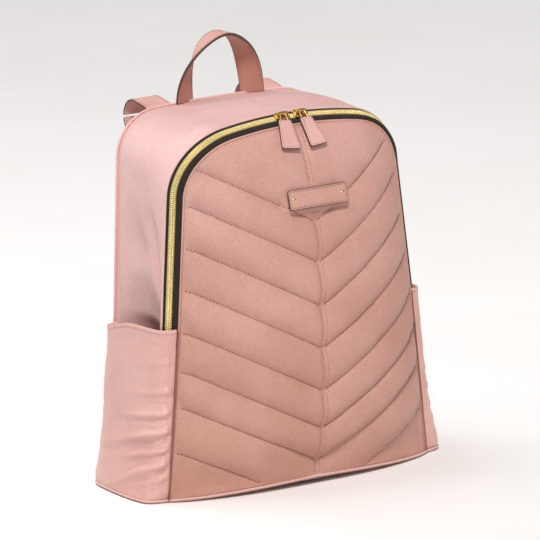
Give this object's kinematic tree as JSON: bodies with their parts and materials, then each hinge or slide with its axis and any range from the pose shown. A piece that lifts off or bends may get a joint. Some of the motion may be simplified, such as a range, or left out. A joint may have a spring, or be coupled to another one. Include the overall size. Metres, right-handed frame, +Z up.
{
  "type": "diaper bag",
  "caption": "Arch-topped diaper backpack in quilted faux leather: zip-down front, side bottle pockets, carry loop, padded shoulder straps and loops that clip round a stroller bar.",
  "frame": {"origin": "on the ground plane under the middle of the base panel", "axes": "+Z up, the quilted front faces -Y, +X is to the right seen from the front"},
  "size_m": [0.3862, 0.2591, 0.4739],
  "materials": {
    "front_leather": "quilted, fine pebble grain, satin",
    "side_leather": "smooth, satin",
    "back_leather": "smooth, satin",
    "patch_leather": "fine pebble grain, blank",
    "strap_leather": "smooth, dark painted edge",
    "foam": "soft open foam",
    "lining": "plain woven",
    "elastic": "knitted elastic",
    "tape": "woven zip tape",
    "coil": "metallic gold coil",
    "gold_metal": "polished light gold",
    "piping": "fine cord, dark",
    "webbing": "woven strap",
    "board": "stiffener board"
  },
  "bodies": {
    "bag": {"back_foam": "foam", "back_lining": "lining", "back_panel": "back_leather", "back_piping": "piping", "back_yoke": "back_leather", "base_board": "board", "base_panel": "back_leather", "front_lower_foam": "foam", "front_lower_lining": "lining", "front_lower_skin": "front_leather", "front_seam_piping": "piping", "gusset_lining": "lining", "gusset_skin": "side_leather", "lower_ring_left": "gold_metal", "lower_ring_right": "gold_metal", "lower_tab_left": "strap_leather", "lower_tab_right": "strap_leather", "organiser_elastic": "elastic", "organiser_pocket": "lining", "pocket_lining_left": "lining", "pocket_lining_right": "lining", "shoulder_strap_left": "strap_leather", "shoulder_strap_right": "strap_leather", "side_pocket_left": "side_leather", "side_pocket_right": "side_leather", "snap_socket_left": "gold_metal", "snap_socket_right": "gold_metal", "strap_foam_left": "foam", "strap_foam_right": "foam", "strap_webbing_left": "webbing", "strap_webbing_right": "webbing", "stroller_loop_left": "strap_leather", "stroller_loop_right": "strap_leather", "zip_bottom_stops": "gold_metal", "zip_coil_outer": "coil", "zip_tape_outer": "tape"},
    "flap": {"flap_skin": "front_leather", "flap_foam": "foam", "flap_lining": "lining", "zip_tape_inner": "tape", "zip_coil_inner": "coil", "name_patch": "patch_leather", "patch_rivets": "gold_metal"},
    "handle": {"carry_handle": "strap_leather"},
    "slider_left": {"zip_slider_left": "gold_metal"},
    "pull_left": {"pull_link_left": "gold_metal", "pull_tab_left": "strap_leather"},
    "adjuster_left": {"strap_adjuster_left": "gold_metal"},
    "tail_left": {"stroller_tail_left": "strap_leather", "snap_cap_left": "gold_metal"},
    "slider_right": {"zip_slider_right": "gold_metal"},
    "pull_right": {"pull_link_right": "gold_metal", "pull_tab_right": "strap_leather"},
    "adjuster_right": {"strap_adjuster_right": "gold_metal"},
    "tail_right": {"stroller_tail_right": "strap_leather", "snap_cap_right": "gold_metal"}
  },
  "joints": [
    {"name": "flap_open", "type": "hinge", "parent": "bag", "child": "flap", "pos_m": [0, -0.1255, 0.18], "axis": [1, 0, 0], "range_deg": [0, 65]},
    {"name": "slider_left_travel", "type": "hinge", "parent": "flap", "child": "slider_left", "pos_m": [0, -0.08, -0.107], "axis": [0, -1, 0], "range_deg": [0, 6.4]},
    {"name": "pull_left_swing", "type": "hinge", "parent": "slider_left", "child": "pull_left", "pos_m": [-0.01179, -0.07303, 0.40562], "axis": [-0.9997, 0, -0.023], "range_deg": [0, 150]},
    {"name": "slider_right_travel", "type": "hinge", "parent": "flap", "child": "slider_right", "pos_m": [0, -0.08, -0.107], "axis": [0, 1, 0], "range_deg": [0, 6.4]},
    {"name": "pull_right_swing", "type": "hinge", "parent": "slider_right", "child": "pull_right", "pos_m": [0.01179, -0.07303, 0.40562], "axis": [-0.9997, 0, 0.023], "range_deg": [0, 150]},
    {"name": "handle_fold", "type": "hinge", "parent": "bag", "child": "handle", "pos_m": [0, 0.077, 0.4043], "axis": [1, 0, 0], "range_deg": [-60, 50]},
    {"name": "adjuster_left_slide", "type": "slide", "parent": "bag", "child": "adjuster_left", "axis": [-0.3351, -0.1555, -0.9293], "range_m": [-0.012, 0.043]},
    {"name": "loop_left_open", "type": "hinge", "parent": "bag", "child": "tail_left", "pos_m": [-0.071, 0.1333, 0.383], "axis": [1, 0, 0], "range_deg": [0, 80]},
    {"name": "adjuster_right_slide", "type": "slide", "parent": "bag", "child": "adjuster_right", "axis": [0.3351, -0.1555, -0.9293], "range_m": [-0.012, 0.043]},
    {"name": "loop_right_open", "type": "hinge", "parent": "bag", "child": "tail_right", "pos_m": [0.071, 0.1333, 0.383], "axis": [1, 0, 0], "range_deg": [0, 80]}
  ]
}
